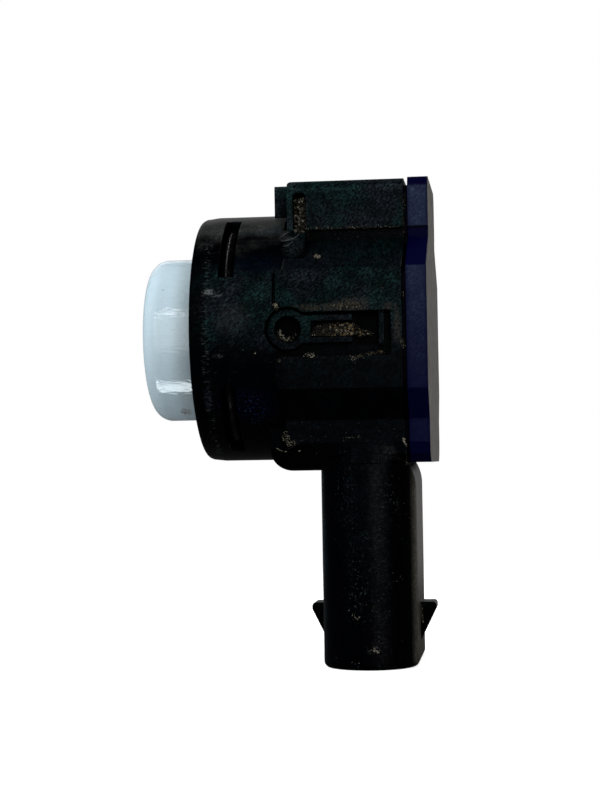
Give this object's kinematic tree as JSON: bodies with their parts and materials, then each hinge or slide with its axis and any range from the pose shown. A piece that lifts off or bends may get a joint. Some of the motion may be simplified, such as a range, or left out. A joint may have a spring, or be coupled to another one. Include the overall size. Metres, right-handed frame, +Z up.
{
  "type": "parking sensor",
  "caption": "Ultrasonic parking sensor: white sounding face in a round barrel, clip pockets on its sides, welded rear cover and a latching connector that points down.",
  "frame": {"origin": "on the sensing axis, in the plane of the shoulder behind the barrel", "axes": "-Y along the sensing axis, out of the white face; +Z up, away from the connector; +X across the clip pockets"},
  "size_m": [0.0228, 0.026, 0.0436],
  "materials": {
    "housing": "moulded satin, dusty",
    "cover": "moulded satin, dark blue",
    "face": "gloss paint",
    "ring": "soft silicone",
    "sounder": "ceramic",
    "foam": "closed cell foam",
    "sealant": "cured silicone",
    "signal_wire": "insulated lead",
    "ground_wire": "insulated lead",
    "board": "solder mask",
    "chip": "moulded package",
    "ferrite": "sintered",
    "bobbin": "moulded",
    "copper": "enamelled wire",
    "capacitor_case": "moulded package",
    "capacitor_chip": "ceramic with metal caps",
    "resistor_chip": "ceramic with metal caps",
    "contact": "tin plated",
    "solder": "solder"
  },
  "bodies": {
    "root": {"housing": "housing", "rear_cover": "cover", "membrane_cup": "face", "decoupling_ring": "ring", "piezo_disc": "sounder", "foam_damper": "foam", "cup_sealant": "sealant", "signal_lead": "signal_wire", "ground_lead": "ground_wire", "circuit_board": "board", "control_chip": "chip", "transformer_core": "ferrite", "transformer_bobbin": "bobbin", "transformer_winding": "copper", "storage_capacitor": "capacitor_case", "protection_diode": "chip", "filter_capacitors": "capacitor_chip", "chip_resistors": "resistor_chip", "left_pin": "contact", "centre_pin": "contact", "right_pin": "contact", "solder_joints": "solder"}
  },
  "joints": []
}
